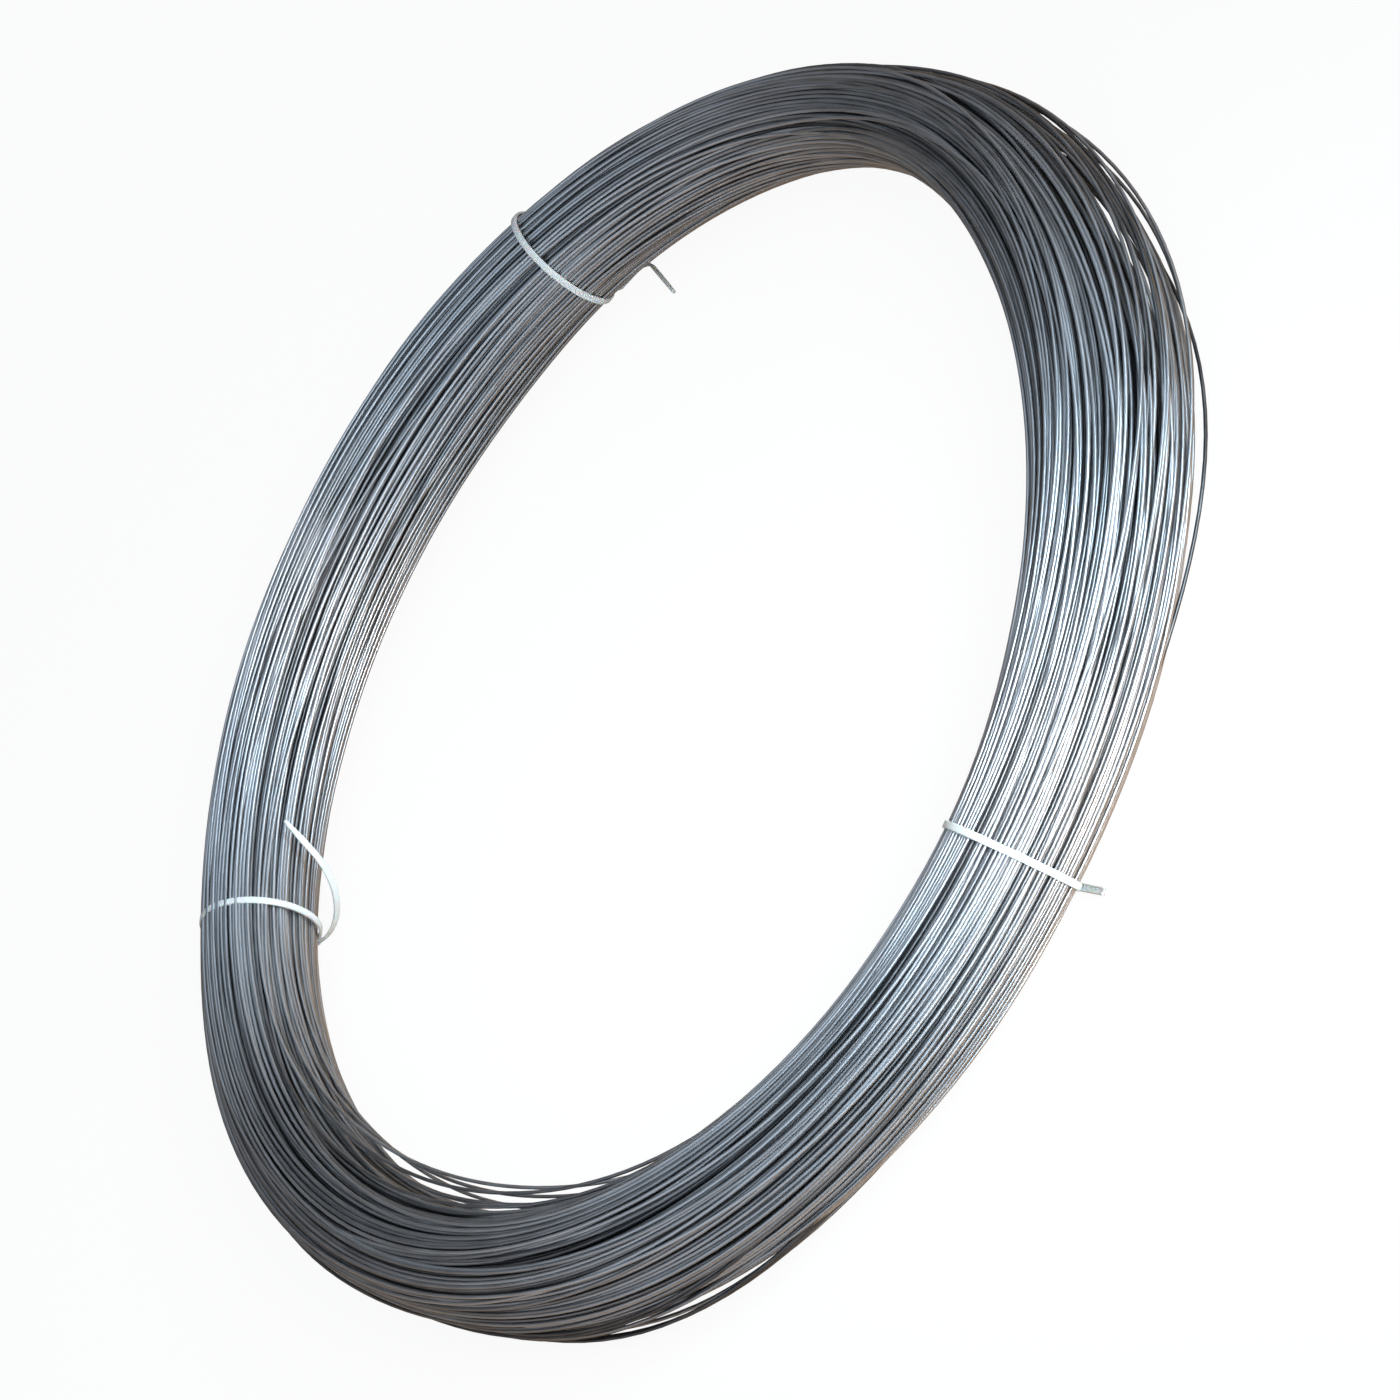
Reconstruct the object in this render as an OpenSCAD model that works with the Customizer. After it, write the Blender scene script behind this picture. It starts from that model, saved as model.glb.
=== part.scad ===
// Coil of drawn steel wire, lying flat: one long wire wound in many turns,
// held as a bundle by three nylon cable ties. Millimetres, +Z up, the floor
// at Z = 0 and the coil's own axis on Z.

/* [Coil] */
// Mean diameter of the coil, measured to the middle of the bundle
coil_d = 420; // [340:5:540]
// Thickness of the bundle of turns where it is tied
bundle_d = 44; // [38:0.5:52]
// Diameter of the drawn wire
wire_d = 1.3; // [1.1:0.05:1.5]
// How far one turn on the bundle's face stands from the next
turn_pitch = 1.28; // [1.1:0.01:1.5]
// Depth of the furrows between the hanks of turns that make up the bundle
furrow_depth = 2.2; // [1.9:0.05:2.8]
// Half the width of each furrow
furrow_w = 2.6; // [2.2:0.1:3.4]

/* [Loose turns] */
// Number of turns that have worked loose, each lying in a furrow at the ties
loose_count = 8; // [4:1:9]
// Where the first loose turn lies round the bundle, in degrees from outside
loose_from = -52; // [-60:1:-40]
// How far round the bundle the loose turns are spread
loose_spread = 284; // [240:1:300]
// Furthest that a loose turn swells off the bundle between two ties
swell = 8; // [2:0.5:12]
// Room between a loose turn and the bundle where it comes nearest
lay_gap = 0.35; // [0.3:0.05:0.6]

/* [Cable ties] */
// Where the first tie goes round the bundle, in degrees from +X
tie_1_at = 54; // [40:1:65]
// Where the second tie goes round the bundle
tie_2_at = 133.5; // [120:0.5:145]
// Where the third tie goes round the bundle
tie_3_at = 270; // [255:1:285]
// How far the first tie is turned out of square with the bundle, in degrees
tie_1_turn = 11; // [-15:1:15]
// How far the second tie is turned
tie_2_turn = -8; // [-15:1:-5]
// How far the third tie is turned
tie_3_turn = 2; // [-15:1:15]
// Width of the strap
strap_w = 2.5; // [1.8:0.1:3.6]
// Thickness of the strap
strap_t = 1.1; // [0.8:0.05:1.4]
// Room between the strap and the bundle
strap_gap = 0.1; // [0.05:0.01:0.3]
// Width of the locking head
head_w = 4.8; // [4.6:0.1:6.4]
// Length of the head along the strap
head_l = 5.2; // [4.4:0.1:6.4]
// Thickness of the head under the strap's slot
head_floor = 0.8; // [0.6:0.05:1.2]
// Thickness of the head over the slot
head_roof = 0.8; // [0.6:0.05:1.2]
// Rounding of the head's corners
head_round = 0.6; // [0.2:0.05:0.8]
// Running room round the strap in the slot
slot_gap = 0.15; // [0.1:0.01:0.25]
// Length of the first tie's free end where it shows beside the bundle
tail_1 = 21; // [10:1:40]
// How far that free end runs along under the bundle before it comes out
tail_1_run = 8.5; // [4:0.5:16]
// How far it leans along the coil where it comes out, in degrees
tail_1_lean = 8; // [0:1:45]
// How far the second tie's free end curls up beside the bundle, in degrees
curl_turn = 106; // [80:1:110]
// How far that curl leans along the coil
curl_lean = 42; // [30:1:48]
// Length of the straight end after the curl
tail_2 = 16; // [10:1:20]
// Length of the third tie's free end, which was cut off short
tail_3 = 15; // [4:1:30]
// How far the cut free end leans along the coil, the other way
tail_3_lean = 8; // [0:1:30]
// Length of the taper at the tip of a free end that was not cut
tip_l = 9; // [4:0.5:14]
// Width of the strap at that tip
tip_w = 1.3; // [0.8:0.1:1.7]

/* [Hidden] */
$fn = 64;

steel_colour = [0.50, 0.54, 0.58];
nylon_colour = [0.92, 0.93, 0.92];

// The coil rests on the three heads, which are under the bundle.
coil_r = coil_d / 2;
face_r = bundle_d / 2;
hoop_r = face_r + strap_gap;
slot_h = strap_t + 2 * slot_gap;
head_h = head_floor + slot_h + head_roof;
// The second free end curls a little wider than the hoop.
curl_r = 1.1 * hoop_r;
// The strap runs straight for this much on either side of the head.
lead_in = 1.5;
lead_out = 1;
overlap = strap_t / 5;
// Each length of the strap starts inside the one before it and is this much slimmer.
hair = 0.04;
bundle_z = hoop_r + head_h;
// The bends of the first free end, which stands on edge under the bundle.
aside_r = 3.6;
aside_turn = 86;
back_r = 8;

// Furrows lie unevenly round the bundle, because the hanks differ in size.
uneven = 5;
furrow_at = [for (k = [0 : loose_count - 1])
    loose_from + loose_spread * k / (loose_count - 1) + uneven * sin(137 * k)];

function gap_deg(a, b) = abs(((a - b) % 360 + 540) % 360 - 180);
function furrow(a) = max([for (f = furrow_at)
    exp(-pow(gap_deg(a, f) * PI / 180 * face_r / furrow_w, 2))]);
// Each turn shows as a wire of eight sides, which lies flat side out.
turn_sides = 8;
turn_flat = wire_d / 2 * cos(180 / turn_sides);
// Distance from the bundle's middle to the centre of the turn at angle a.
function lay_r(a) = face_r - turn_flat - furrow_depth * furrow(a);
function lay_point(a) = lay_r(a) * [cos(a), sin(a)];

// The turns stand along the section's outline at an even pitch.
walk = 0.5;
function outline_step(a) = norm(lay_point(a + walk) - lay_point(a)) / walk;
function add(list, i = 0) = i < len(list) ? list[i] + add(list, i + 1) : 0;
outline = walk * add([for (a = [0 : walk : 360 - walk]) outline_step(a)]);
turn_count = round(outline / turn_pitch);
function next_turn(a, left) = left <= 0 ? a
    : let (part = min(left, outline_step(a) * walk))
      next_turn(a + part / outline_step(a), left - part);
turn_at = [for (i = 0, a = 0; i < turn_count; i = i + 1, a = next_turn(a, outline / turn_count)) a];

module bundle_section() {
    polygon([for (a = turn_at) lay_point(a)]);
    for (a = turn_at)
        translate(lay_point(a))
            rotate(a + 180 / turn_sides)
                circle(d = wire_d, $fn = turn_sides);
}

// The packed turns as one turned solid, with every turn on its face.
module wire_coil() {
    color(steel_colour)
        translate([0, 0, bundle_z])
            rotate_extrude($fn = 180)
                translate([coil_r, 0])
                    bundle_section();
}

// Loose turns lie in a furrow under every tie and swell off the bundle between ties.
bays = [[tie_1_at, tie_2_at], [tie_2_at, tie_3_at], [tie_3_at, tie_1_at + 360]];
bay_steps = [14, 22, 22];
longest_bay = max([for (b = bays) b[1] - b[0]]);
wire_sides = 6;
wander = 7;

// One station: [angle round the coil, share of the swell, bay].
stations = [for (b = [0 : 2], i = [0 : bay_steps[b] - 1])
    let (span = bays[b][1] - bays[b][0], t = i / bay_steps[b])
    [bays[b][0] + span * t, pow(sin(180 * t), 2) * pow(span / longest_bay, 2), b]];

// How much of the full swell turn k takes in bay b: most at the sides, least below.
function swell_share(k, b) = 0.62 + 0.38 * sin(97 * k + 140 * b);
function rise(k, b) = let (up = sin(furrow_at[k]))
    swell * swell_share(k, b) * (up > 0 ? 1 - 0.5 * up : pow(1 + up, 2));
function loose_centre(k, s) = let (
    a = furrow_at[k] + wander * s[1] * sin(61 * k + 90 * s[2]),
    base = face_r - furrow_depth + wire_d / 2 + lay_gap,
    clear = face_r + wire_d / 2 + lay_gap,
    r = base + s[1] * (clear - base + rise(k, s[2])))
    [coil_r + r * cos(a), bundle_z + r * sin(a)];
function loose_ring(k, s) = let (c = loose_centre(k, s))
    [for (j = [0 : wire_sides - 1])
        let (u = 360 * j / wire_sides,
             out = c[0] + wire_d / 2 * cos(u),
             up = c[1] + wire_d / 2 * sin(u))
        [out * cos(s[0]), out * sin(s[0]), up]];

module loose_turns() {
    n = len(stations);
    points = [for (k = [0 : loose_count - 1], s = stations, p = loose_ring(k, s)) p];
    faces = [for (k = [0 : loose_count - 1], i = [0 : n - 1], j = [0 : wire_sides - 1])
        let (here = (k * n + i) * wire_sides,
             next = (k * n + (i + 1) % n) * wire_sides,
             j2 = (j + 1) % wire_sides)
        each [[here + j, here + j2, next + j2], [here + j, next + j2, next + j]]];
    color(steel_colour)
        polyhedron(points, faces);
}

// A tie in its own frame: X runs from the bundle's middle out through the head,
// Y along the strap's travel and Z across its width.
slot_x = hoop_r + head_floor + slot_gap;
lead_y = -(head_l / 2 + lead_in);
lead_x = slot_x + strap_t / 2;
exit_y = head_l / 2 + lead_out;

// A hoop that is turned out of square is longer than it is high by this much, for the
// slant, for the strap's two edges and for the bend of the coil between its sides.
function stretch(turn) = 2 * face_r * (1 / cos(turn) - 1) + strap_w * abs(tan(turn))
    + pow(face_r * sin(turn), 2) / coil_r;
// The strap leaves the bundle where a straight lead to the slot is tangent to it.
lead_r = hoop_r + strap_t / 2;
function lead_a(side_y) = let (y = lead_y - side_y)
    atan2(y, lead_x) - acos(min(1, lead_r / norm([lead_x, y])));

// The strap running straight from p to q and on to r, mitred at q.
module strap_run(p, q, r) {
    half = (strap_t - hair) / 2;
    from_p = (q - p) / norm(q - p);
    to_r = (r - q) / norm(r - q);
    side_p = half * [-from_p[1], from_p[0]];
    side_r = half * [-to_r[1], to_r[0]];
    side_q = (side_p + side_r) / (1 + from_p * to_r);
    polygon([p + side_p, q + side_q, r + side_r, r - side_r, q - side_q, p - side_p]);
}

// A sector of radius r from the angle a1 to a2, wide enough to cut a round with.
module wedge(a1, a2, r) {
    steps = 12;
    polygon(concat([[0, 0]], [for (i = [0 : steps])
        let (a = a1 + (a2 - a1) * i / steps) r * [cos(a), sin(a)]]));
}

// Two half rounds of radius r with straight sides of length l between them.
module long_round(r, l) {
    translate([0, -l / 2]) circle(r, $fn = 180);
    translate([0, l / 2]) circle(r, $fn = 180);
    square([2 * r, l], center = true);
}

// The hoop round the bundle, from the head's root to where it leaves the bundle.
module hoop_profile(turn) {
    long = stretch(turn);
    side = [0, -long / 2];
    leave = lead_a(side[1]);
    intersection() {
        difference() {
            long_round(hoop_r + strap_t, long);
            long_round(hoop_r, long);
        }
        translate(side)
            wedge(0, 360 + leave, 2 * hoop_r);
    }
    start = side + lead_r * [cos(leave), sin(leave)] + overlap * [sin(leave), -cos(leave)];
    strap_run(start, [lead_x, lead_y], [lead_x, exit_y + overlap]);
}

module head() {
    difference() {
        translate([hoop_r, -head_l / 2, -head_w / 2])
            rounded_block([head_h, head_l, head_w], head_round);
        translate([slot_x - slot_gap, -head_l, -strap_w / 2 - slot_gap])
            cube([slot_h, 2 * head_l, strap_w + 2 * slot_gap]);
    }
}

// A block whose edges along Y are rounded.
module rounded_block(size, r) {
    translate([0, size[1], 0])
        rotate([90, 0, 0])
            linear_extrude(size[1])
                translate([r, r])
                    offset(r)
                        square([size[0] - 2 * r, size[2] - 2 * r]);
}

// A straight length l of strap along Y, tapered at its tip unless it was cut.
module tail_blade(l, tapered, slim) {
    side = (strap_w - slim) / 2;
    full_l = tapered ? l - tip_l : l;
    tip = tapered ? [[tip_w / 2, l], [-tip_w / 2, l]] : [];
    rotate([0, 90, 0])
        linear_extrude(strap_t - slim, center = true)
            polygon([[-side, 0], [side, 0], [side, full_l], each tip, [-side, full_l]]);
}

// A strap bent by the angle turn at radius r, towards -X from the direction +Y.
module tail_arc(r, turn, slim) {
    translate([-r, 0, 0])
        rotate_extrude(angle = turn, $fn = 180)
            translate([r, 0])
                square([strap_t - slim, strap_w - slim], center = true);
}

// What it holds starts where such an arc ends, in the direction that the arc ends in.
module after_arc(r, turn) {
    translate([-r, 0, 0])
        rotate([0, 0, turn])
            translate([r, -overlap, 0])
                children();
}

// The first free end stands on edge: it turns aside, runs under the bundle and comes out.
module tail_aside() {
    back_turn = aside_turn - tail_1_lean;
    translate([0, -lead_out - overlap, 0])
        rotate([0, 90, 0]) {
            tail_arc(aside_r, aside_turn, 0);
            after_arc(aside_r, aside_turn) {
                tail_blade(tail_1_run + 2 * overlap, false, hair);
                translate([0, tail_1_run + overlap, 0])
                    mirror([1, 0, 0]) {
                        tail_arc(back_r, back_turn, 2 * hair);
                        after_arc(back_r, back_turn)
                            tail_blade(tail_1, true, 3 * hair);
                    }
            }
        }
}

// The second free end is an arc in a plane that leans, then a straight tapered tip.
module tail_curl() {
    rotate([0, curl_lean, 0]) {
        tail_arc(curl_r, curl_turn, hair);
        after_arc(curl_r, curl_turn)
            tail_blade(tail_2, true, 2 * hair);
    }
}

// The third free end is straight and was cut off.
module tail_cut() {
    rotate([-tail_3_lean, 0, 0])
        tail_blade(tail_3, false, 2 * hair);
}

// One tie, its head under the bundle: where it stands, how far it is turned out of square,
// and whether its free end, which is given as a child, points into the eye.
module cable_tie(at, turn, inward) {
    color(nylon_colour)
        rotate([0, 0, at])
            translate([coil_r, 0, bundle_z])
                rotate([0, 0, turn])
                    mirror([inward ? 1 : 0, 0, 0])
                        rotate([0, 90, 0])
                            rotate([90, 0, 0]) {
                                linear_extrude(strap_w, center = true)
                                    hoop_profile(turn);
                                head();
                                translate([lead_x, exit_y, 0])
                                    children();
                            }
}

module tie_1() { cable_tie(tie_1_at, tie_1_turn, true) tail_aside(); }
module tie_2() { cable_tie(tie_2_at, tie_2_turn, true) tail_curl(); }
module tie_3() { cable_tie(tie_3_at, tie_3_turn, false) tail_cut(); }

wire_coil();
loose_turns();
tie_1();
tie_2();
tie_3();
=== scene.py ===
import math

import bpy
import numpy as np
from mathutils import Matrix, Vector


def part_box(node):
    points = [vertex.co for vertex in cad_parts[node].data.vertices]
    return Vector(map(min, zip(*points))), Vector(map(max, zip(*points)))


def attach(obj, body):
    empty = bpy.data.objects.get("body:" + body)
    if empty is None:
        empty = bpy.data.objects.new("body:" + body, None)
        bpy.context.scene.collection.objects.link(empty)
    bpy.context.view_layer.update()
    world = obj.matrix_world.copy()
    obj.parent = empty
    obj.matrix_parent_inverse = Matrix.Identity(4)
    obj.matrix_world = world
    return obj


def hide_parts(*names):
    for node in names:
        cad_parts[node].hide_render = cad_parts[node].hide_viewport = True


bl_info = {
    "name": "Coil of drawn steel wire",
    "version": (1, 0, 0),
    "blender": (4, 5, 0),
    "location": "View3D > Sidebar > Wire coil",
    "description": "A coil of galvanised steel wire, bound with three nylon cable ties",
    "category": "Object",
}

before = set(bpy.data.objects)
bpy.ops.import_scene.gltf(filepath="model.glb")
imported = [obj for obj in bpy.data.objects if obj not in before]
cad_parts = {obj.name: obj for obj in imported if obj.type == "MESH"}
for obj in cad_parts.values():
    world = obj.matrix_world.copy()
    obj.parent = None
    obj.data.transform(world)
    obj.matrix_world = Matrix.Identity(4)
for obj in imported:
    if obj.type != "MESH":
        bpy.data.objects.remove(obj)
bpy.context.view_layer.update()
MM = 0.001
TURN = 2 * math.pi


def frame_sizes():
    """The coil's own measures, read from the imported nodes: ring radius, face radius and height."""
    lo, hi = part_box("wire_coil")
    face = (hi[2] - lo[2]) / 2
    return (hi[0] - lo[0]) / 2 - face, face, (hi[2] + lo[2]) / 2


RING_R, FACE_R, RING_Z = frame_sizes()


class WireSettings(bpy.types.PropertyGroup):
    """Sizes and colours of the wire and of the bundle that its turns make."""

    wire_d: bpy.props.FloatProperty(
        name="Wire diameter", description="Diameter of the drawn wire",
        default=1.3 * MM, min=0.5 * MM, max=4 * MM, precision=5, unit="LENGTH", subtype="DISTANCE")
    spacing: bpy.props.FloatProperty(
        name="Spacing", description="Room for each turn in its layer, in wire diameters",
        default=1.04, min=1.0, max=1.5)
    stations: bpy.props.IntProperty(
        name="Stations", description="Points along each turn", default=160, min=48, max=240)
    sides: bpy.props.IntProperty(
        name="Sides", description="Sides of the wire's section", default=8, min=5, max=16)
    seed: bpy.props.IntProperty(name="Seed", description="Seed of the winding", default=7)
    steel: bpy.props.FloatVectorProperty(
        name="Steel", description="Colour of the drawn and galvanised wire",
        default=(0.60, 0.61, 0.62), size=3, min=0, max=1, subtype="COLOR")
    # The darker end of a turn's tone: the colour of duller turns, and of the painted shade that darkens the
    # deeper turns.
    shade: bpy.props.FloatVectorProperty(
        name="Dull and shaded steel", description="Colour of the duller turns",
        default=(0.10, 0.10, 0.102), size=3, min=0, max=1, subtype="COLOR")


def length(name, text, mm):
    """A length that can be set, given in millimetres."""
    return bpy.props.FloatProperty(name=name, description=text, default=mm * MM, min=0, precision=5,
                                   unit="LENGTH", subtype="DISTANCE")


class TieSettings(bpy.types.PropertyGroup):
    """Sizes and colours of the cable ties."""

    strap_w: length("Strap width", "Width of the strap", 2.5)
    strap_t: length("Strap thickness", "Thickness of the strap", 1.1)
    strap_gap: length("Strap gap", "Room between the strap and the bundle", 0.1)
    rail_w: length("Rail width", "Width of the plain edge beside the teeth", 0.5)
    groove: length("Groove", "Depth of the groove that the teeth lie in", 0.2)
    tooth_pitch: length("Tooth pitch", "From one tooth to the next", 0.95)
    tip_l: length("Tip length", "Length of the taper at an uncut free end", 9.0)
    tip_w: length("Tip width", "Width of the strap at that tip", 1.3)
    head_l: length("Head length", "Length of the head along the strap", 5.2)
    head_w: length("Head width", "Width of the head", 4.8)
    head_wall: length("Head wall", "Thickness of the head under and over its slot", 0.8)
    head_round: length("Head rounding", "Rounding of the head's corners", 0.6)
    slot_gap: length("Slot gap", "Running room round the strap in the slot", 0.15)
    nylon: bpy.props.FloatVectorProperty(
        name="Nylon", description="Colour of the natural nylon",
        default=(0.60, 0.60, 0.56), size=3, min=0, max=1, subtype="COLOR")
    # Painted shade: the free ends that lie near the floor mix towards this darker nylon by their tone.
    nylon_shade: bpy.props.FloatVectorProperty(
        name="Shaded nylon", description="Colour of the free ends that lie near the floor",
        default=(0.36, 0.34, 0.31), size=3, min=0, max=1, subtype="COLOR")


class StageSettings(bpy.types.PropertyGroup):
    """The floor, the lamps and the camera."""

    elevation: bpy.props.FloatProperty(
        name="Elevation", description="Height of the camera over the coil's plane",
        default=0.6209, unit="ROTATION", subtype="ANGLE")
    roll: bpy.props.FloatProperty(
        name="Roll", description="Turn of the camera about its own line of sight",
        default=-1.10976, unit="ROTATION", subtype="ANGLE")
    distance: bpy.props.FloatProperty(
        name="Distance", description="From the camera to the middle of the coil",
        default=7.97 * 0.21, unit="LENGTH", subtype="DISTANCE")
    focal_px: bpy.props.FloatProperty(
        name="Focal length", description="Focal length in pixels of the 1400 pixel picture",
        default=4926.0)
    middle_px: bpy.props.FloatVectorProperty(
        name="Middle of the coil", description="Where the coil's middle is in the picture",
        default=(654.3, 677.8), size=2)
    floor: bpy.props.FloatVectorProperty(
        name="Floor", description="Colour of the floor",
        default=(0.78, 0.74, 0.70), size=3, min=0, max=1, subtype="COLOR")
    mirrored: bpy.props.FloatVectorProperty(
        name="Mirrored floor", description="Colour of the floor in the wire's reflections",
        default=(0.46, 0.29, 0.18), size=3, min=0, max=1, subtype="COLOR")
    glow: bpy.props.FloatProperty(
        name="Glow", description="How far the floor is plain white to the camera",
        default=0.93, min=0, max=1)


# Where the ties go round the bundle in degrees from +X, how many degrees each is turned out of square
# with it, whether its free end leaves the head towards the eye, and how many millimetres it is
# pulled in on its upper and inner side.
TIES = (
    (54.0, 11.0, True, 0.0),
    (133.5, -8.0, True, 1.0),
    (270.0, 2.0, False, 0.0),
)
TIES_AT = tuple(tie[0] for tie in TIES)

# The free ends, from where each comes out of its head: length in millimetres, the axis that it bends
# about in the tie's own frame, how far it bends and how far it twists, both in degrees, and
# the tone of the nylon at its end, where a low tone is painted shade on the ends near the floor.
# In that frame X is outwards through the head, Y the strap's way on.
ASIDE_R, BACK_R, CURL_R, CURL_LEAN = 3.6, 8.0, 24.31, 42.0
CURL_AXIS = (math.sin(math.radians(CURL_LEAN)), 0.0, math.cos(math.radians(CURL_LEAN)))
TAILS = (
    (
        (math.radians(86) * ASIDE_R, (1, 0, 0), 86, 90, 0.5),
        (8.5, (1, 0, 0), 0, 0, 0.4),
        (math.radians(78) * BACK_R, (1, 0, 0), -78, 0, 0.4),
        (21.0, (1, 0, 0), 0, 0, 0.4),
    ),
    (
        (1.0, (0, 0, 1), 0, 0, 0.9),
        (math.radians(10) * CURL_R, CURL_AXIS, 10, CURL_LEAN, 0.8),
        (math.radians(96) * CURL_R, CURL_AXIS, 96, 30, 0.8),
        (16.0, (0, 0, 1), 0, 0, 0.9),
    ),
    (
        (1.0, (0, 0, 1), 0, 0, 0.4),
        (2.0, (1, 0, 0), -8, 0, 0.0),
        (13.0, (0, 0, 1), 0, 0, 0.0),
    ),
)

# The lamps: where each is and what it points at in metres, its width and height, its power
# in watts, the angle in degrees that its grid lets light out in, and its colour.
NEAR_SIDE = (0.02, -0.21, 0.02)
WHITE, BLUE = (1.0, 1.0, 1.0), (0.58, 0.82, 1.0)
LAMPS = (
    ("Key lamp", (0.5, -1.1, 1.2), (0.0, 0.0, 0.02), 0.8, 1.2, 0.6, 180, WHITE),
    ("Near lamp", (0.18, -0.70, 0.34), NEAR_SIDE, 0.36, 0.44, 0.60, 30, WHITE),
    ("Near right lamp", (0.48, -0.64, 0.34), NEAR_SIDE, 0.40, 0.46, 0.64, 27, BLUE),
    ("Near left lamp", (-0.18, -0.80, 0.34), NEAR_SIDE, 0.30, 0.44, 0.12, 28, BLUE),
)

# How far the bundle reaches from the ring's line, in millimetres: where in degrees round the coil,
# then inwards, outwards, upwards and downwards. The ties hold it to the face's own radius.
SECTIONS = (
    (0.0, 15.4, 14.8, 19.2, 19.8),
    (15.0, 15.4, 14.8, 18.4, 19.3),
    (30.0, 20.8, 17.6, 20.0, 20.2),
    (42.0, 23.4, 20.4, 20.6, 21.6),
    (54.0, 22.0, 22.0, 22.0, 22.0),
    (64.0, 25.6, 23.4, 23.4, 22.8),
    (75.0, 26.4, 24.0, 24.0, 23.0),
    (92.0, 22.8, 23.8, 23.4, 22.6),
    (110.0, 20.4, 24.8, 22.4, 21.6),
    (122.0, 20.0, 25.2, 22.8, 21.6),
    (133.5, 20.0, 22.0, 20.0, 22.0),
    (142.0, 16.6, 26.2, 22.2, 19.4),
    (155.0, 21.4, 26.4, 22.4, 21.2),
    (168.0, 22.8, 22.2, 21.8, 21.6),
    (180.0, 20.6, 18.6, 23.0, 22.2),
    (190.0, 19.0, 15.6, 24.2, 23.0),
    (210.0, 19.4, 21.2, 24.6, 20.6),
    (230.0, 20.8, 23.8, 22.8, 20.6),
    (250.0, 20.0, 23.2, 20.4, 21.0),
    (270.0, 22.0, 22.0, 22.0, 22.0),
    (285.0, 26.0, 24.2, 22.2, 22.0),
    (300.0, 29.8, 27.0, 23.4, 22.6),
    (315.0, 31.2, 25.0, 24.0, 22.0),
    (330.0, 29.4, 13.0, 23.6, 17.0),
    (345.0, 23.8, 12.4, 22.4, 18.4),
)

# The wound layers, from the face inwards: the share of a full layer that is there,
# its depth under the face in wire diameters, and how far a turn wanders in it in degrees.
LAYERS = (
    (0.60, 0.0, 27.0),
    (0.62, 0.9, 17.0),
    (0.80, 1.8, 8.0),
    (0.98, 2.7, 3.0),
)

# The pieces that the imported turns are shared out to, side by side round the section.
HANKS = 5

# How deep under the face the innermost of these turns may go and where the imported heart starts,
# in wire diameters, and the colours of the heart: steel painted nearly black as the shade inside the bundle.
INNERMOST, HEART_DEPTH = 3.5, 3.4
HEART_SHADE_DARK, HEART_SHADE_LIGHT = (0.008, 0.009, 0.011), (0.035, 0.037, 0.041)

# A turn's tone, from 0 for the duller, shaded colour to 1 for bright: on the face, what it loses with each
# wire diameter of depth, which is painted shade on the deeper turns, and how far one turn can be from the
# next.
TONE, DEPTH_SHADE, TONE_SPREAD = 0.84, 0.30, 0.34

# Rounds in which the turns push apart, before and after some of them spring off.
SETTLE_ROUNDS, EASE_ROUNDS = 24, 6

# Turns that have sprung off the bundle together: where in degrees round the coil, half their
# length in degrees, from which side of the bundle to which in degrees from outside,
# how many they are, and how far the nearest and the farthest stand off it in millimetres.
SPRUNG = (
    (334.0, 38.0, -50.0, 40.0, 35, 3.8, 15.6),
    (322.0, 46.0, -40.0, -38.0, 1, 8.8, 8.8),
    (170.0, 30.0, -34.0, 6.0, 4, 2.8, 4.6),
    (68.0, 22.0, 212.0, 236.0, 3, 0.8, 1.8),
    (8.0, 30.0, 0.0, 50.0, 6, 2.2, 4.6),
    (212.0, 30.0, -22.0, -4.0, 4, 2.4, 4.4),
    (218.0, 34.0, -52.0, -26.0, 5, 5.2, 7.0),
    (194.0, 42.0, 150.0, 196.0, 4, 6.8, 10.8),
    (188.0, 40.0, 132.0, 172.0, 3, 4.0, 7.4),
    (92.0, 28.0, -10.0, 24.0, 3, 0.6, 1.3),
    (96.0, 28.0, 160.0, 200.0, 3, 0.6, 1.2),
)


def mesh_object(name, verts, faces, edges=()):
    """A mesh object in the scene, at the origin."""
    mesh = bpy.data.meshes.new(name)
    mesh.from_pydata([tuple(v) for v in verts], list(edges), [tuple(f) for f in faces])
    mesh.update()
    obj = bpy.data.objects.new(name, mesh)
    bpy.context.scene.collection.objects.link(obj)
    return obj


def tube_faces(sections, around, is_ring=False):
    """Faces of a tube through sections of equally many points: closed to a ring, or capped at its ends."""
    faces = []
    for i in range(sections if is_ring else sections - 1):
        here, on = i * around, (i + 1) % sections * around
        faces += [(here + j, here + (j + 1) % around, on + (j + 1) % around, on + j) for j in range(around)]
    if is_ring:
        return faces
    return faces + [tuple(range(around))[::-1], tuple(range((sections - 1) * around, sections * around))]


def swell_at(phi, at, half):
    """A smooth bump round the coil: 1 at its middle and 0 past its half span, in degrees."""
    off = (np.degrees(phi) - at + 180) % 360 - 180
    return np.where(np.abs(off) < half, 0.5 + 0.5 * np.cos(np.pi * off / half), 0.0)


def slack(phi, reach=13.0):
    """0 at each tie, rising to 1 a little way from it, where the turns are free to spread."""
    nearest = np.full_like(phi, 180.0)
    for at in TIES_AT:
        nearest = np.minimum(nearest, np.abs((np.degrees(phi) - at + 180) % 360 - 180))
    t = np.clip((nearest - 1.5) / reach, 0, 1)
    return t * t * (3 - 2 * t)


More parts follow.
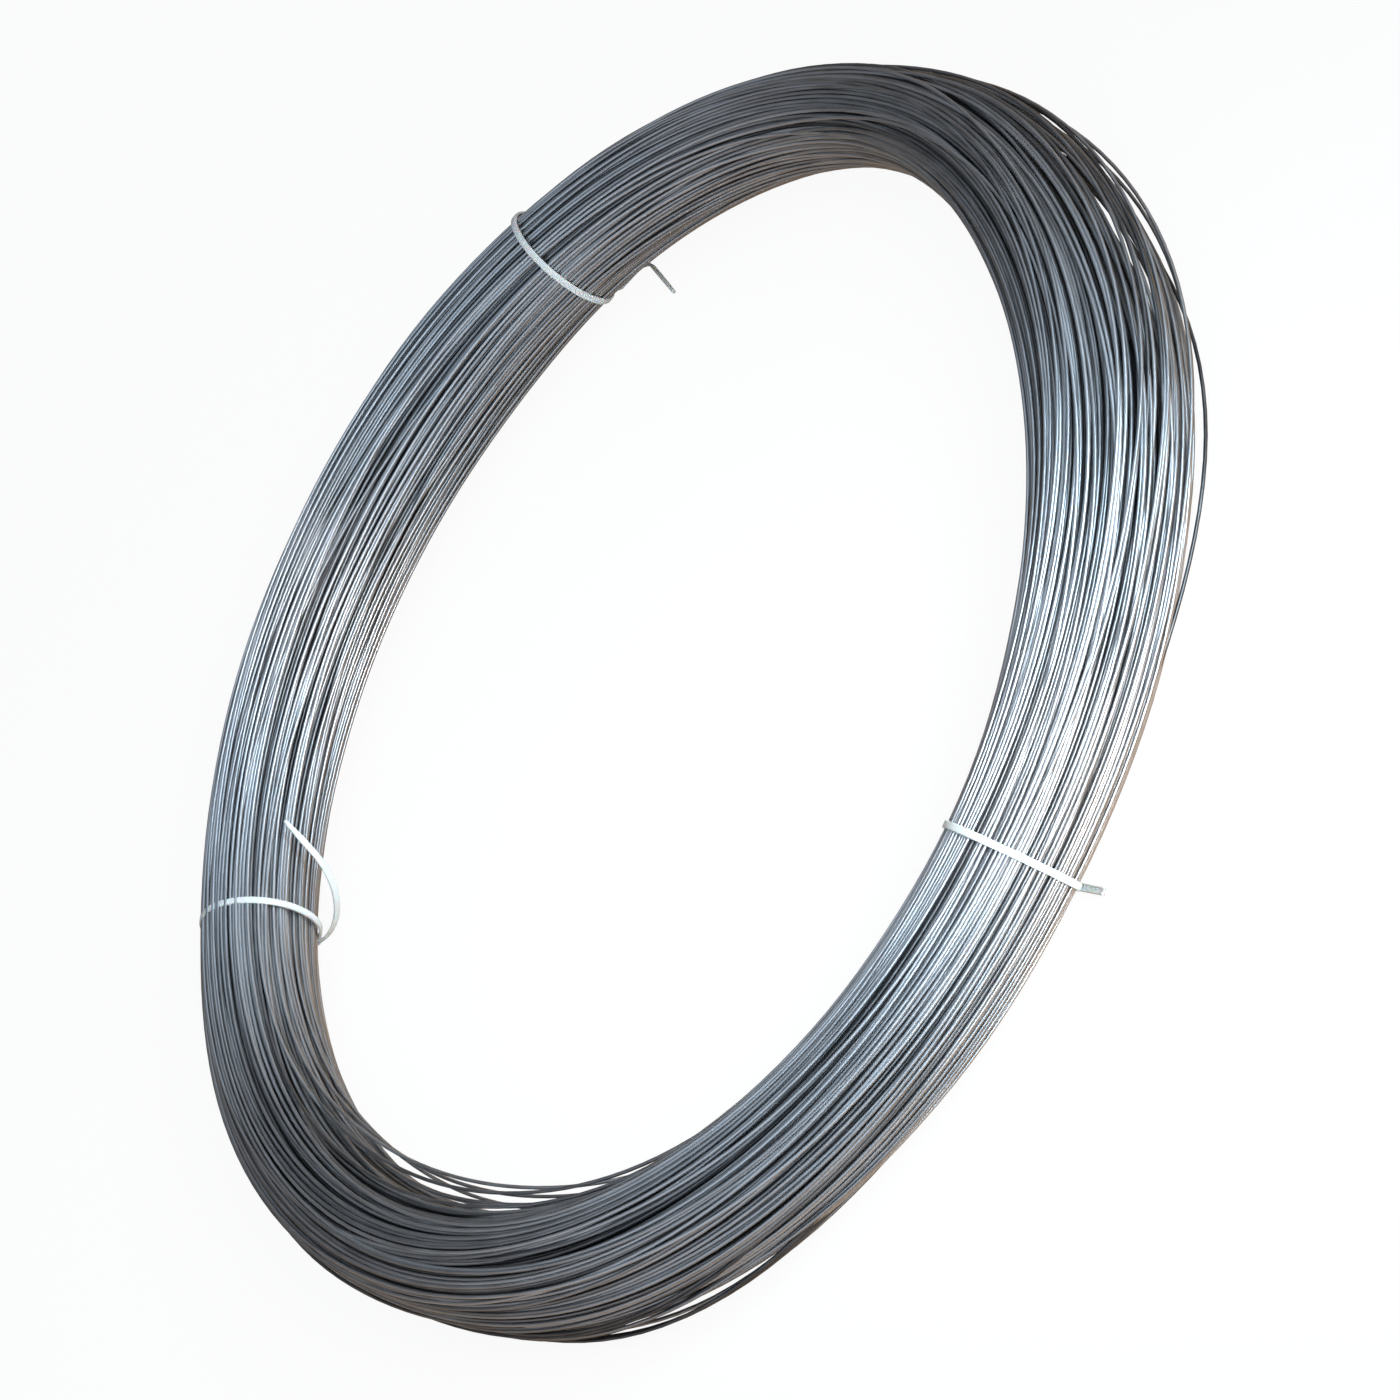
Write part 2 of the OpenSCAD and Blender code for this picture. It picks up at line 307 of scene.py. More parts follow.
def bundle_reach(phi, wire):
    """The bundle's reach inwards, outwards, upwards and downwards, to its outermost turns' middles."""
    table = np.array(SECTIONS)
    at = np.concatenate([table[:, 0] - 360, table[:, 0], table[:, 0] + 360])
    fine = np.arange(720) / 2.0
    half, soft = 24, 9.0
    kernel = np.exp(-0.5 * (np.arange(-half, half + 1) / soft) ** 2)
    kernel /= kernel.sum()
    reach = []
    for column in table[:, 1:].T:
        line = np.interp(fine, at, np.tile(column, 3))
        line = np.convolve(np.concatenate([line[-half:], line, line[:half]]), kernel, mode="valid")
        reach.append(np.interp(np.degrees(phi) % 360, fine, line, period=360))
    tight = FACE_R / MM
    near = 1 - slack(phi, 7.0)
    return [r + (np.minimum(r, tight) - r) * near - wire / 2 for r in reach]


def scaled(lay, reach, tight):
    """Places in a round section of radius tight, stretched to the bundle's reach on each side."""
    inwards, outwards, upwards, downwards = [r[:, None] / tight for r in reach]
    x = lay[..., 0] * np.where(lay[..., 0] < 0, inwards, outwards)
    y = lay[..., 1] * np.where(lay[..., 1] < 0, downwards, upwards)
    return np.stack([x, y], axis=2)


def waves(rng, phi, n, orders):
    """A smooth and random wave round the coil for each of n turns, about 1 high."""
    total = np.zeros((len(phi), n))
    for k in orders:
        total += rng.uniform(0.3, 1.0, n) / k * np.sin(k * phi[:, None] + rng.uniform(0, TURN, n))
    return total


def first_lay(rng, settings, phi, wire):
    """Each turn's place in a round section at each station, before the turns push apart."""
    jitter, held_pace, sway, stray = 0.3, 0.25, 0.6, 0.5
    bow_mean, bow_most, bow_under = 0.5, 1.8, 0.3
    tight = FACE_R / MM - wire / 2
    rows = []
    for share, depth, wander in LAYERS:
        r = tight - depth * wire
        count = int(TURN * r / (wire * settings.spacing) * share)
        start = rng.uniform(0, TURN)
        for i in range(count):
            rows.append((r, start + TURN * (i + rng.uniform(-jitter, jitter)) / count, wander, depth))
    r, a, wander, depth = np.array(rows).T
    n = len(r)
    # A turn wanders where it is free, and keeps its place through the ties.
    pace = held_pace + slack(phi, 30.0)
    warped = np.cumsum(pace) / pace.sum() * TURN
    angle = a + np.radians(wander) * sway * waves(rng, warped, n, (1, 2, 3))
    radius = r + stray * waves(rng, warped, n, (1, 2))
    for i, at in enumerate(TIES_AT):
        end = TIES_AT[(i + 1) % 3] + (360 if i == 2 else 0)
        bow = swell_at(phi, (at + end) / 2, (end - at) / 2)[:, None]
        rise = np.minimum(rng.exponential(bow_mean, n), bow_most) * (end - at) / 120
        radius = radius + rise * bow * np.where(depth < 1.0, 1.0, bow_under)
    return np.stack([radius * np.cos(angle), radius * np.sin(angle)], axis=2), depth


def push_apart(lay, wire, rounds, limit=None, core=0.0, reach=None):
    """Moves turns that lie in each other apart, keeps them in the bundle and keeps them smooth."""
    push, ease, least_gap = 0.3, 0.25, 0.2
    lay = lay.astype(np.float32)
    same = np.eye(lay.shape[1], dtype=bool)
    for _ in range(rounds):
        for s in range(lay.shape[0]):
            dx = lay[s, :, None, 0] - lay[s, None, :, 0]
            dy = lay[s, :, None, 1] - lay[s, None, :, 1]
            gap = np.sqrt(dx * dx + dy * dy)
            gap[same] = 99
            k = np.clip(wire / np.maximum(gap, least_gap) - 1, 0, 1) * push
            lay[s, :, 0] += (k * dx).sum(axis=1)
            lay[s, :, 1] += (k * dy).sum(axis=1)
        lay += ease * (np.roll(lay, 1, axis=0) + np.roll(lay, -1, axis=0) - 2 * lay)
        if limit is not None:
            inwards, outwards, upwards, downwards = [r[:, None] for r in reach]
            x = lay[..., 0] / np.where(lay[..., 0] < 0, inwards, outwards)
            y = lay[..., 1] / np.where(lay[..., 1] < 0, downwards, upwards)
            share = np.sqrt(x * x + y * y)
            lay = lay * np.minimum(1, limit[:, None] / share)[..., None]
            lay = lay * np.maximum(1, core / np.maximum(share, 0.05))[..., None]
    return lay


def finer(lay, count):
    """The same closed turns with more points, by their Fourier series."""
    few = lay.shape[0]
    series = np.fft.rfft(lay, axis=0)
    return np.fft.irfft(series, n=count, axis=0) * (count / few)


def spring_off(lay, phi, reach, rng):
    """Lets the turns of SPRUNG leave the bundle, each group spread evenly over its side."""
    inwards, outwards, upwards, downwards = [r[:, None] for r in reach]
    depth_cost, never = 3.0, 99
    used = []
    for at, half, side_from, side_to, count, near, far in SPRUNG:
        s = int(round(at / 360 * len(phi))) % len(phi)
        x = lay[s, :, 0] / np.where(lay[s, :, 0] < 0, inwards[s], outwards[s])
        y = lay[s, :, 1] / np.where(lay[s, :, 1] < 0, downwards[s], upwards[s])
        share = np.hypot(x, y)
        bump = swell_at(phi, at, half)[:, None]
        for k in range(count):
            side = math.radians(side_from + (side_to - side_from) * (k + rng.uniform(0.1, 0.9)) / count)
            away = np.abs((np.arctan2(y, x) - side + math.pi) % TURN - math.pi)
            cost = away + depth_cost * (1 - share)
            cost[used] = never
            i = int(np.argmin(cost))
            used.append(i)
            off = rng.uniform(near, far)
            cos, sin = math.cos(side), math.sin(side)
            goal_x = (outwards if cos > 0 else inwards) * cos + off * cos
            goal_y = (upwards if sin > 0 else downwards) * sin + off * sin
            goal = np.concatenate([goal_x, goal_y], axis=1)
            lay[:, i] += bump * (goal - lay[:, i])
    return lay, used


def ring_points(lay, phi, wire):
    """Section places in millimetres to points round the coil, in metres, none of them in the floor."""
    out = RING_R + lay[..., 0] * MM
    z = RING_Z + lay[..., 1] * MM
    off_floor = 0.05
    z = np.maximum(z, (wire / 2 + off_floor) * MM)
    return np.stack([out * np.cos(phi)[:, None], out * np.sin(phi)[:, None], z], axis=2)


def socket(tree, name, kind, default=None, output=False, low=None):
    """Adds a named input or output to a node group."""
    s = tree.interface.new_socket(name=name, in_out="OUTPUT" if output else "INPUT", socket_type=kind)
    if default is not None:
        s.default_value = default
    if low is not None:
        s.min_value = low


def node(tree, kind, **values):
    """A new node with its properties set."""
    n = tree.nodes.new(kind)
    for key, value in values.items():
        setattr(n, key, value)
    return n


def feed(tree, n, inputs):
    """Joins each input of a node to a socket or sets it to a value; returns the node's first output."""
    for key, value in inputs.items():
        if isinstance(value, bpy.types.NodeSocket):
            tree.links.new(value, n.inputs[key])
        else:
            n.inputs[key].default_value = value
    return n.outputs[0] if n.outputs else None


def math_node(tree, operation, first, second=None, clamp=False):
    """A math node with each input either a socket or a number; returns its output."""
    values = (first,) if second is None else (first, second)
    n = node(tree, "ShaderNodeMath", operation=operation, use_clamp=clamp)
    return feed(tree, n, dict(enumerate(values)))


def vector_node(tree, operation, inputs):
    """A vector math node; returns its vector output."""
    return feed(tree, node(tree, "ShaderNodeVectorMath", operation=operation), inputs)


def fade(tree, value, full, none):
    """1 where the value is at full, falling smoothly to 0 at none."""
    n = node(tree, "ShaderNodeMapRange", interpolation_type="SMOOTHSTEP")
    return feed(tree, n, {"Value": value, "From Min": none, "From Max": full})


def span(tree, share, low, high):
    """The range from low to high, by a share from 0 to 1."""
    return feed(tree, node(tree, "ShaderNodeMapRange"), {"Value": share, "To Min": low, "To Max": high})


def mixed_colour(tree, share, first, second):
    """The colour between two, by a share from 0 to 1."""
    n = node(tree, "ShaderNodeMix", data_type="RGBA")
    feed(tree, n, {"Factor": share, "A": (*first, 1), "B": (*second, 1)})
    return n.outputs["Result"]


def mixed_shader(tree, share, first, second):
    """The shader between two, by a share from 0 to 1."""
    return feed(tree, node(tree, "ShaderNodeMixShader"), {0: share, 1: first, 2: second})


def end_geometry(tree, start, geometry, name):
    """Makes the geometry real, gives it the group's material and hands it out under its name."""
    real = feed(tree, node(tree, "GeometryNodeRealizeInstances"), {"Geometry": geometry})
    paint = node(tree, "GeometryNodeSetMaterial")
    painted = feed(tree, paint, {"Geometry": real, "Material": start.outputs["Material"]})
    feed(tree, node(tree, "NodeGroupOutput"), {name: painted})


def set_inputs(modifier, values):
    """Sets a geometry nodes modifier's inputs by their names."""
    for item in modifier.node_group.interface.items_tree:
        if item.item_type == "SOCKET" and item.in_out == "INPUT" and item.name in values:
            modifier[item.identifier] = values[item.name]


def made_plain(source, name):
    """The evaluated result of an object's modifiers as a plain mesh object."""
    depsgraph = bpy.context.evaluated_depsgraph_get()
    mesh = bpy.data.meshes.new_from_object(source.evaluated_get(depsgraph), preserve_all_data_layers=True,
                                           depsgraph=depsgraph)
    mesh.name = name
    bpy.data.objects.remove(source)
    obj = bpy.data.objects.new(name, mesh)
    bpy.context.scene.collection.objects.link(obj)
    return obj


def wire_sweep_tree():
    """Geometry nodes that turn closed paths into round wire."""
    tree = bpy.data.node_groups.new("Wire sweep", "GeometryNodeTree")
    socket(tree, "Paths", "NodeSocketGeometry")
    socket(tree, "Wire diameter", "NodeSocketFloat", 0.0013, low=0.0)
    socket(tree, "Sides", "NodeSocketInt", 8, low=3)
    socket(tree, "Material", "NodeSocketMaterial")
    socket(tree, "Wire", "NodeSocketGeometry", output=True)
    start = node(tree, "NodeGroupInput")
    given = start.outputs
    paths = feed(tree, node(tree, "GeometryNodeMeshToCurve"), {"Mesh": given["Paths"]})
    radius = math_node(tree, "MULTIPLY", given["Wire diameter"], 0.5)
    circle = node(tree, "GeometryNodeCurvePrimitiveCircle")
    section = feed(tree, circle, {"Radius": radius, "Resolution": given["Sides"]})
    wire = feed(tree, node(tree, "GeometryNodeCurveToMesh"), {"Curve": paths, "Profile Curve": section})
    smooth = feed(tree, node(tree, "GeometryNodeSetShadeSmooth"), {"Geometry": wire})
    end_geometry(tree, start, smooth, "Wire")
    return tree


def sweep_turns(name, turns, tones, tree, settings, material):
    """One piece of wire turns, swept along their closed paths."""
    count, stations = turns.shape[1], turns.shape[0]
    points = turns.transpose(1, 0, 2).reshape(-1, 3)
    index = np.arange(count * stations).reshape(count, stations)
    edges = np.stack([index, np.roll(index, -1, axis=1)], axis=2).reshape(-1, 2)
    source = mesh_object(name + "_paths", points, [], edges)
    tone = source.data.attributes.new("tone", "FLOAT", "POINT")
    tone.data.foreach_set("value", np.repeat(tones, stations).astype(np.float32))
    modifier = source.modifiers.new("Wire sweep", "NODES")
    modifier.node_group = tree
    set_inputs(modifier, {"Wire diameter": settings.wire_d, "Sides": settings.sides, "Material": material})
    return made_plain(source, name)


def turned(v, axis, angle):
    """The vector v turned about an axis by an angle in radians."""
    axis = np.asarray(axis, float) / np.linalg.norm(axis)
    c, s = math.cos(angle), math.sin(angle)
    return v * c + np.cross(axis, v) * s + axis * np.dot(axis, v) * (1 - c)


class StrapPath:
    """The middle line of one strap in its tie's own frame, in millimetres, station by station."""

    def __init__(self, settings, turn, pulled, tail):
        self.wide = settings.strap_w / MM
        self.thick = settings.strap_t / MM
        self.hoop = FACE_R / MM + settings.strap_gap / MM
        self.slot = self.hoop + (settings.head_wall + settings.slot_gap) / MM + self.thick / 2
        self.head = settings.head_l / MM
        self.rows = []
        self.go_round(math.radians(turn), pulled)
        self.go_on(tail)

    def add(self, place, way, out, across, tone):
        self.rows.append(np.concatenate([place, way, out, across, [tone]]))

    def go_round(self, turn, pulled):
        """Round the bundle from the head's root and back to the slot."""
        flat = FACE_R / MM
        long = 2 * flat * (1 / math.cos(turn) - 1) + self.wide * abs(math.tan(turn))
        long += (flat * math.sin(turn)) ** 2 / (RING_R / MM)
        mid = self.hoop + self.thick / 2 - pulled
        lead_in, hoop_stations, slot_stations = 1.5, 120, 8
        x, y = self.slot - pulled, long / 2 + pulled - self.head / 2 - lead_in
        leave = math.atan2(y, x) - math.acos(mid / math.hypot(x, y))
        across = np.array((0.0, 0.0, 1.0))
        for a in np.linspace(0, TURN + leave, hoop_stations):
            c, s = math.cos(a), math.sin(a)
            shift = math.copysign(long / 2, s) - pulled
            self.add((mid * c + pulled, mid * s + shift, 0), (-s, c, 0), (c, s, 0), across, 1.0)
        last, way, out = self.rows[-1][:3], self.rows[-1][3:6], self.rows[-1][6:9]
        corner = np.array((self.slot, -self.head / 2 - lead_in, 0))
        straight, down = np.array((0.0, 1.0, 0.0)), np.array((1.0, 0.0, 0.0))
        for share in (0.35, 0.7, 0.92):
            self.add(last + share * (corner - last), way, out, across, 1.0)
        between = [v / np.linalg.norm(v) for v in ((way + straight) / 2, (out + down) / 2)]
        self.add(corner, *between, across, 1.0)
        self.teeth_from = len(self.rows) + 1
        for on in np.linspace(0.3, lead_in + self.head, slot_stations):
            self.add(corner + on * straight, straight, down, across, 1.0)

    def go_on(self, tail):
        """Out of the head and along the free end, bend by bend."""
        place, way, out, across, tone = np.split(self.rows[-1], (3, 6, 9, 12))
        tone, step = tone[0], 0.6
        for run, axis, bend, twist, end_tone in tail:
            n = max(2, round(run / step))
            start_tone = tone
            for i in range(n):
                place = place + turned(way, axis, math.radians(bend) / n / 2) * run / n
                way, out, across = [turned(v, axis, math.radians(bend) / n) for v in (way, out, across)]
                out, across = [turned(v, way, math.radians(twist) / n) for v in (out, across)]
                tone = start_tone + (end_tone - start_tone) * (i + 1) / n
                self.add(place, way, out, across, tone)

    def stations(self):
        """Places, ways out, ways across, tones and lengths along the strap."""
        rows = np.array(self.rows)
        along = np.concatenate([[0], np.cumsum(np.linalg.norm(np.diff(rows[:, :3], axis=0), axis=1))])
        return rows[:, :3], rows[:, 6:9], rows[:, 9:12], rows[:, 12], along


def to_coil(v, at, turn, inward, is_place=True):
    """From a tie's own frame in millimetres to the coil's in metres; only places are moved."""
    x, y, z = np.asarray(v, float).T
    q = np.stack([-y if inward else y, -z, -x], axis=1) * MM
    for angle, shift in ((turn, RING_R), (at, 0.0)):
        c, s = math.cos(math.radians(angle)), math.sin(math.radians(angle))
        q = np.stack([q[:, 0] * c - q[:, 1] * s, q[:, 0] * s + q[:, 1] * c, q[:, 2]], axis=1)
        if is_place and shift:
            q = q + (shift, 0, RING_Z)
    return q if is_place else q / MM


def strap_profile(settings):
    """The strap's section, across and out: a crowned face, rounded edges, and a groove between two rails."""
    w, t = settings.strap_w / MM / 2, settings.strap_t / MM / 2
    rail, deep = settings.rail_w / MM, settings.groove / MM
    half = [(0.45 * w, t), (0.8 * w, 0.93 * t), (0.95 * w, 0.74 * t), (w, 0.4 * t), (w, -0.6 * t),
            (w - 0.06, -0.88 * t), (w - 0.18, -t), (w - rail, -t), (w - rail - 0.06, deep - t)]
    return [(-x, y) for x, y in half[::-1]] + half


def head_sections(settings):
    """The locking head as loops that go out through its skin and back through its slot."""
    low = FACE_R / MM + settings.strap_gap / MM
    wall, gap, r = settings.head_wall / MM, settings.slot_gap / MM, settings.head_round / MM
    tall, wide, long = 2 * wall + 2 * gap + settings.strap_t / MM, settings.head_w / MM, settings.head_l / MM
    corners = []
    for cx, cz, start in ((1, 1, 0), (-1, 1, 90), (-1, -1, 180), (1, -1, 270)):
        corners += [(cx, cz, math.radians(start + 18 * k)) for k in range(6)]

    def loop(y, half_x, half_z, round_r):
        return [(low + tall / 2 + cx * (half_x - round_r) + round_r * math.cos(a), y,
                 cz * (half_z - round_r) + round_r * math.sin(a)) for cx, cz, a in corners]

    slot_x, slot_z = tall / 2 - wall, settings.strap_w / MM / 2 + gap
    loops = []
    for y, inset in ((-long / 2, 0.22), (-long / 2 + 0.08, 0.08), (-long / 2 + 0.25, 0.0)):
        loops.append(loop(y, tall / 2 - inset, wide / 2 - inset, r))
    loops += [[(x, -y, z) for x, y, z in ring] for ring in loops[::-1]]
    for y, flare in ((long / 2, 0.12), (long / 2 - 0.3, 0.0), (-long / 2 + 0.3, 0.0), (-long / 2, 0.12)):
        loops.append(loop(y, slot_x + flare, slot_z + flare, 0.1 + flare))
    return loops


def tooth_tree():
    """Geometry nodes that set a tooth on each loose point of a strap."""
    tree = bpy.data.node_groups.new("Strap teeth", "GeometryNodeTree")
    socket(tree, "Strap", "NodeSocketGeometry")
    socket(tree, "Tooth pitch", "NodeSocketFloat", 0.00095, low=0.0)
    socket(tree, "Tooth height", "NodeSocketFloat", 0.0002, low=0.0)
    socket(tree, "Tooth width", "NodeSocketFloat", 0.0014, low=0.0)
    socket(tree, "Material", "NodeSocketMaterial")
    socket(tree, "Toothed strap", "NodeSocketGeometry", output=True)
    start = node(tree, "NodeGroupInput")
    given = start.outputs

    def attribute(name, kind):
        n = node(tree, "GeometryNodeInputNamedAttribute", data_type=kind)
        feed(tree, n, {"Name": name})
        return n.outputs["Attribute"]

    part = node(tree, "GeometryNodeSeparateGeometry", domain="POINT")
    feed(tree, part, {"Geometry": given["Strap"], "Selection": attribute("is_tooth", "BOOLEAN")})
    stand = node(tree, "FunctionNodeAxesToRotation", primary_axis="Z", secondary_axis="X")
    ways = [attribute(name, "FLOAT_VECTOR") for name in ("across", "inwards")]
    turn = feed(tree, stand, dict(enumerate(ways)))
    # A prism has its middle on the groove's floor, its tip up and its base sunk in the strap.
    tip_share, length_share = 0.8, 0.55
    prism = node(tree, "GeometryNodeMeshCylinder", fill_type="NGON")
    tooth = feed(tree, prism, {"Vertices": 3, "Radius": 1.0, "Depth": 1.0})
    size = feed(tree, node(tree, "ShaderNodeCombineXYZ"), {
        "X": math_node(tree, "MULTIPLY", given["Tooth height"], tip_share),
        "Y": math_node(tree, "MULTIPLY", given["Tooth pitch"], length_share),
        "Z": math_node(tree, "MULTIPLY", given["Tooth width"], attribute("share", "FLOAT")),
    })
    teeth = feed(tree, node(tree, "GeometryNodeInstanceOnPoints"), {
        "Points": part.outputs["Selection"], "Instance": tooth, "Rotation": turn, "Scale": size})
    join = node(tree, "GeometryNodeJoinGeometry")
    for geometry in (teeth, part.outputs["Inverted"]):
        feed(tree, join, {0: geometry})
    end_geometry(tree, start, join.outputs[0], "Toothed strap")
    return tree


def ring_coordinates():
    """A node group that unrolls the coil: along it, outwards and upwards."""
    tree = bpy.data.node_groups.new("Ring coordinates", "ShaderNodeTree")
    socket(tree, "Along", "NodeSocketFloat", 1.0)
    socket(tree, "Across", "NodeSocketFloat", 1.0)
    socket(tree, "Place", "NodeSocketVector", output=True)
    given = node(tree, "NodeGroupInput").outputs
    where = node(tree, "ShaderNodeTexCoord").outputs["Object"]
    split = node(tree, "ShaderNodeSeparateXYZ")
    feed(tree, split, {0: where})
    angle = math_node(tree, "ARCTAN2", split.outputs["Y"], split.outputs["X"])
    out = node(tree, "ShaderNodeVectorMath", operation="LENGTH")
    feed(tree, out, {0: vector_node(tree, "MULTIPLY", {0: where, 1: (1, 1, 0)})})
    place = feed(tree, node(tree, "ShaderNodeCombineXYZ"), {
        "X": math_node(tree, "MULTIPLY", angle, given["Along"]),
        "Y": math_node(tree, "MULTIPLY", out.outputs["Value"], given["Across"]),
        "Z": math_node(tree, "MULTIPLY", split.outputs["Z"], given["Across"]),
    })
    feed(tree, node(tree, "NodeGroupOutput"), {"Place": place})
    return tree


def softbox_sky():
    """The studio's light: a white arch over the coil, blue light on either side, less light from behind."""
    tree = bpy.data.node_groups.new("Softbox sky", "ShaderNodeTree")
    socket(tree, "Across", "NodeSocketFloat", 0.20)
    socket(tree, "Arch", "NodeSocketColor", (0.60, 0.62, 0.64, 1))
    socket(tree, "Side", "NodeSocketColor", (0.03, 0.29, 0.54, 1))
    socket(tree, "Room", "NodeSocketColor", (0.54, 0.425, 0.345, 1))
    socket(tree, "Back", "NodeSocketFloat", 0.16)
    socket(tree, "Light", "NodeSocketColor", output=True)
    given = node(tree, "NodeGroupInput").outputs
    way = node(tree, "ShaderNodeSeparateXYZ")
    feed(tree, way, {0: node(tree, "ShaderNodeTexCoord").outputs["Generated"]})
    x, y, z = way.outputs
    # A highlight's place round the coil goes by X over the distance from the view's own Y.
    view_y, least = 0.813, 0.03
    depth = math_node(tree, "MAXIMUM", math_node(tree, "SUBTRACT", view_y, y), least)
    across = math_node(tree, "DIVIDE", x, depth)
    off = math_node(tree, "ABSOLUTE", math_node(tree, "SUBTRACT", across, given["Across"]))
    high = math_node(tree, "MULTIPLY", fade(tree, z, 0.25, 0.02), fade(tree, y, -0.2, 0.4))
    arch = math_node(tree, "MULTIPLY", fade(tree, off, 0.04, 0.36), high)
    side = math_node(tree, "MULTIPLY", fade(tree, off, 0.5, 2.6), fade(tree, z, 0.3, -0.1))
    total = given["Room"]
    for share, colour in ((side, "Side"), (arch, "Arch")):
        light = vector_node(tree, "SCALE", {0: given[colour], "Scale": share})
        total = vector_node(tree, "ADD", {0: total, 1: light})
    back = math_node(tree, "MAXIMUM", fade(tree, y, 0.2, 0.8), given["Back"])
    dimmed = vector_node(tree, "SCALE", {0: total, "Scale": back})
    feed(tree, node(tree, "NodeGroupOutput"), {"Light": dimmed})
    return tree


def new_material(name):
    """A material, with its node tree and its main shader."""
    mat = bpy.data.materials.new(name)
    mat.use_nodes = True
    return mat, mat.node_tree, mat.node_tree.nodes["Principled BSDF"]


def ring_noise(tree, rings, along, across, detail=2.0):
    """Noise drawn out along the turns, so many cells to the radian along and to the metre across."""
    place = feed(tree, node(tree, "ShaderNodeGroup", node_tree=rings), {"Along": along, "Across": across})
    noise = node(tree, "ShaderNodeTexNoise")
    feed(tree, noise, {"Vector": place, "Scale": 1.0, "Detail": detail})
    return noise.outputs["Fac"]


def uneven_tone(tree, noise, amount):
    """The mesh's tone attribute, own tone and painted shade together, made uneven by noise, as a share from
    0 to 1.
    """
    tone = node(tree, "ShaderNodeAttribute", attribute_name="tone").outputs["Fac"]
    uneven = math_node(tree, "MULTIPLY", math_node(tree, "SUBTRACT", noise, 0.5), amount)
    return math_node(tree, "ADD", tone, uneven, clamp=True)


def wire_material(settings, rings):
    """Drawn and galvanised wire: streaks along it, zinc in patches, each turn in its own tone, the deeper
    turns darkened by painted shade.
    """
    mat, tree, shader = new_material("Galvanised wire")
    streaks = ring_noise(tree, rings, 6.0, 2600.0)
    patches = ring_noise(tree, rings, 16.0, 700.0, detail=3.0)
    bump = node(tree, "ShaderNodeBump")
    feed(tree, shader, {
        # The tone mixes from the darker colour to steel: the deeper turns' low tones are painted shade.
        "Base Color": mixed_colour(tree, uneven_tone(tree, patches, 0.5), settings.shade, settings.steel),
        "Metallic": 1.0,
        "Roughness": span(tree, patches, 0.32, 0.50),
        "Normal": feed(tree, bump, {"Strength": 0.25, "Distance": 0.00005, "Height": streaks}),
    })
    return mat


def heart_material(rings):
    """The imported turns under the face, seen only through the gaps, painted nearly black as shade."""
    mat, tree, shader = new_material("Shaded packed wire")
    grain = ring_noise(tree, rings, 5.0, 1500.0)
    feed(tree, shader, {
        "Base Color": mixed_colour(tree, grain, HEART_SHADE_DARK, HEART_SHADE_LIGHT),
        "Metallic": 1.0,
        "Roughness": 0.5,
    })
    return mat


def nylon_material(settings):
    """Natural nylon, a little see-through, with the soft gloss of a moulding, and painted shade on the free
    ends by their tone.
    """
    mat, tree, shader = new_material("Nylon")
    noise = node(tree, "ShaderNodeTexNoise")
    feed(tree, noise, {"Vector": node(tree, "ShaderNodeTexCoord").outputs["Object"], "Scale": 400.0})
    cloud = noise.outputs["Fac"]
    feed(tree, shader, {
        "Base Color": mixed_colour(tree, uneven_tone(tree, cloud, 0.16), settings.nylon_shade, settings.nylon),
        "Roughness": span(tree, cloud, 0.3, 0.42),
        "Subsurface Weight": 0.3,
        "Subsurface Scale": 0.001,
    })
    return mat


